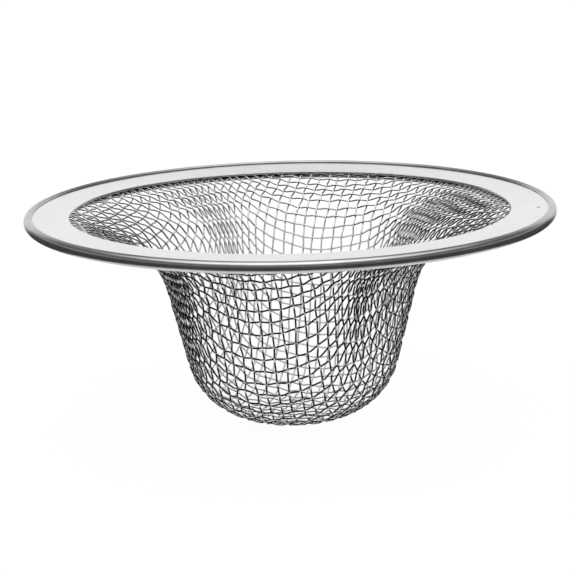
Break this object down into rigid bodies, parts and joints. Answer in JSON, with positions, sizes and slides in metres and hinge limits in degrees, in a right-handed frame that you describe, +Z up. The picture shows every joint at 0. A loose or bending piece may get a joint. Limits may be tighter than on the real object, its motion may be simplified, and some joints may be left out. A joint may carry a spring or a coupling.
{
  "type": "sink strainer",
  "caption": "Round sink strainer: a deep basket pressed from woven steel wire cloth, hung in a flat steel rim with a rolled edge, to catch debris in a drain.",
  "frame": {"origin": "on the basket's axis, at the lowest point of the basket's floor", "axes": "+Z up along the basket's axis, out of the mouth; X along the weft wires and Y along the warp wires"},
  "size_m": [0.07, 0.07, 0.029],
  "materials": {
    "rim_sheet": "satin, faint straight brushing",
    "rim_bead": "polished",
    "warp_wire": "bright drawn wire",
    "weft_wire": "bright drawn wire"
  },
  "bodies": {
    "root": {"top_rim_ring": "rim_sheet", "lower_rim_ring": "rim_bead", "warp_wires_00": "warp_wire", "warp_wires_01": "warp_wire", "warp_wires_02": "warp_wire", "warp_wires_03": "warp_wire", "warp_wires_04": "warp_wire", "warp_wires_05": "warp_wire", "warp_wires_06": "warp_wire", "warp_wires_07": "warp_wire", "warp_wires_08": "warp_wire", "warp_wires_09": "warp_wire", "warp_wires_10": "warp_wire", "warp_wires_11": "warp_wire", "warp_wires_12": "warp_wire", "warp_wires_13": "warp_wire", "warp_wires_14": "warp_wire", "warp_wires_15": "warp_wire", "warp_wires_16": "warp_wire", "warp_wires_17": "warp_wire", "warp_wires_18": "warp_wire", "warp_wires_19": "warp_wire", "warp_wires_20": "warp_wire", "warp_wires_22": "warp_wire", "warp_wires_24": "warp_wire", "warp_wires_27": "warp_wire", "weft_wires_00": "weft_wire", "weft_wires_01": "weft_wire", "weft_wires_02": "weft_wire", "weft_wires_03": "weft_wire", "weft_wires_04": "weft_wire", "weft_wires_05": "weft_wire", "weft_wires_06": "weft_wire", "weft_wires_07": "weft_wire", "weft_wires_08": "weft_wire", "weft_wires_09": "weft_wire", "weft_wires_10": "weft_wire", "weft_wires_11": "weft_wire", "weft_wires_12": "weft_wire", "weft_wires_13": "weft_wire", "weft_wires_14": "weft_wire", "weft_wires_15": "weft_wire", "weft_wires_16": "weft_wire", "weft_wires_17": "weft_wire", "weft_wires_18": "weft_wire", "weft_wires_19": "weft_wire", "weft_wires_20": "weft_wire", "weft_wires_22": "weft_wire", "weft_wires_24": "weft_wire", "weft_wires_27": "weft_wire"}
  },
  "joints": []
}
